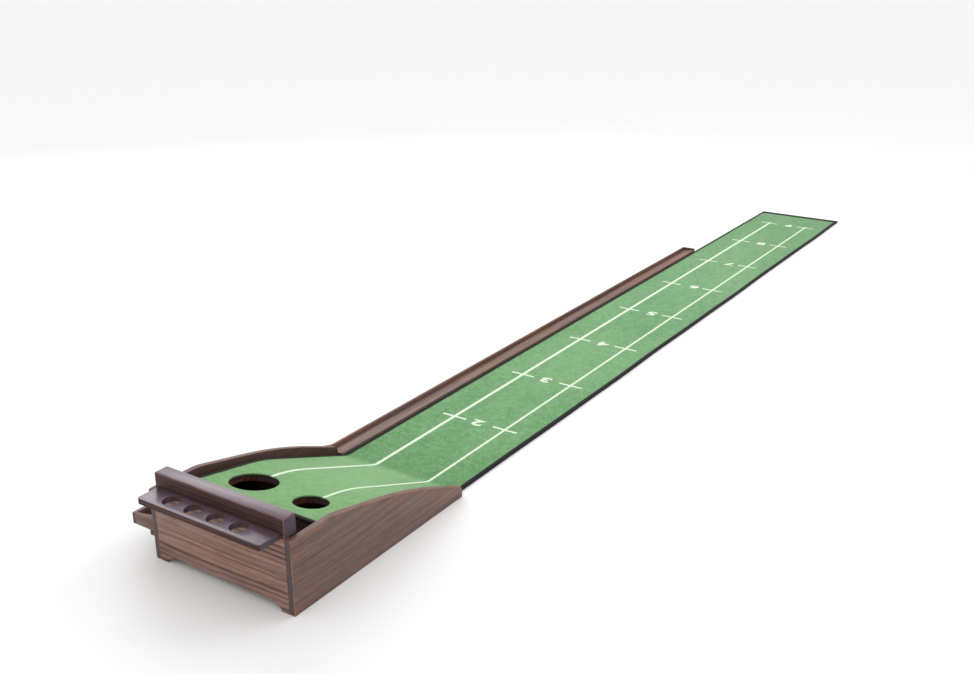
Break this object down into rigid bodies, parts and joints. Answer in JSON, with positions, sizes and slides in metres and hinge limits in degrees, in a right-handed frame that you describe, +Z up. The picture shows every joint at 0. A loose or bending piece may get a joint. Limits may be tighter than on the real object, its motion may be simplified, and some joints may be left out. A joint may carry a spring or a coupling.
{
  "type": "practice putting mat",
  "caption": "Long turf mat running up a wooden ramp head with a large and a small hole, a ball holder on top, and a side chute and low track that return the balls.",
  "frame": {"origin": "on the floor, under the middle of the bounding box", "axes": "+Y from the head to the player's end of the mat, +Z up, +X to the side away from the ball return"},
  "size_m": [0.3904, 3.137, 0.1793],
  "materials": {
    "stained_wood": "dark brown stain with visible grain, satin",
    "deck_wood": "reddish brown cut edges, matt",
    "plain_wood": "brown, matt",
    "steel_pin": "plain dowel",
    "turf": "short dense green pile with pale printed lines",
    "rubber_backing": "matt black",
    "binding_tape": "black woven tape"
  },
  "bodies": {
    "head": {"side_panel_left": "stained_wood", "side_panel_right": "stained_wood", "back_panel": "stained_wood", "ramp_deck": "deck_wood", "cross_rail_mid": "plain_wood", "cross_rail_front": "plain_wood", "collector_floor": "plain_wood", "collector_stop": "plain_wood", "chute_floor": "stained_wood", "chute_wall": "stained_wood", "chute_end_lip": "stained_wood", "chute_batten": "stained_wood"},
    "ball_holder": {"holder_shelf": "stained_wood", "holder_rail": "stained_wood", "holder_pin_left": "steel_pin", "holder_pin_right": "steel_pin"},
    "mat": {"mat_turf_large_hole": "turf", "mat_turf_small_hole": "turf", "mat_turf_ramp": "turf", "mat_turf_runway": "turf", "mat_backing": "rubber_backing", "binding_left": "binding_tape", "binding_right": "binding_tape", "binding_head": "binding_tape", "binding_far": "binding_tape"},
    "track_1": {"track_floor_1": "stained_wood", "track_wall_1": "stained_wood", "track_pin_1a": "steel_pin", "track_pin_1b": "steel_pin"},
    "track_2": {"track_floor_2": "stained_wood", "track_wall_2": "stained_wood", "track_pin_2a": "steel_pin", "track_pin_2b": "steel_pin"},
    "track_3": {"track_floor_3": "stained_wood", "track_wall_3": "stained_wood", "track_pin_3a": "steel_pin", "track_pin_3b": "steel_pin"},
    "track_4": {"track_floor_4": "stained_wood", "track_wall_4": "stained_wood", "track_end_stop": "stained_wood"}
  },
  "joints": [
    {"name": "holder_lift", "type": "slide", "parent": "head", "child": "ball_holder", "axis": [0, 0, 1], "range_m": [0, 0.06]},
    {"name": "mat_lift", "type": "slide", "parent": "head", "child": "mat", "axis": [0, 0, 1], "range_m": [0, 0.06]},
    {"name": "track_1_slide", "type": "slide", "parent": "head", "child": "track_1", "axis": [0, 1, 0], "range_m": [0, 0.06]},
    {"name": "track_2_slide", "type": "slide", "parent": "track_1", "child": "track_2", "axis": [0, 1, 0], "range_m": [0, 0.06]},
    {"name": "track_3_slide", "type": "slide", "parent": "track_2", "child": "track_3", "axis": [0, 1, 0], "range_m": [0, 0.06]},
    {"name": "track_4_slide", "type": "slide", "parent": "track_3", "child": "track_4", "axis": [0, 1, 0], "range_m": [0, 0.06]}
  ]
}
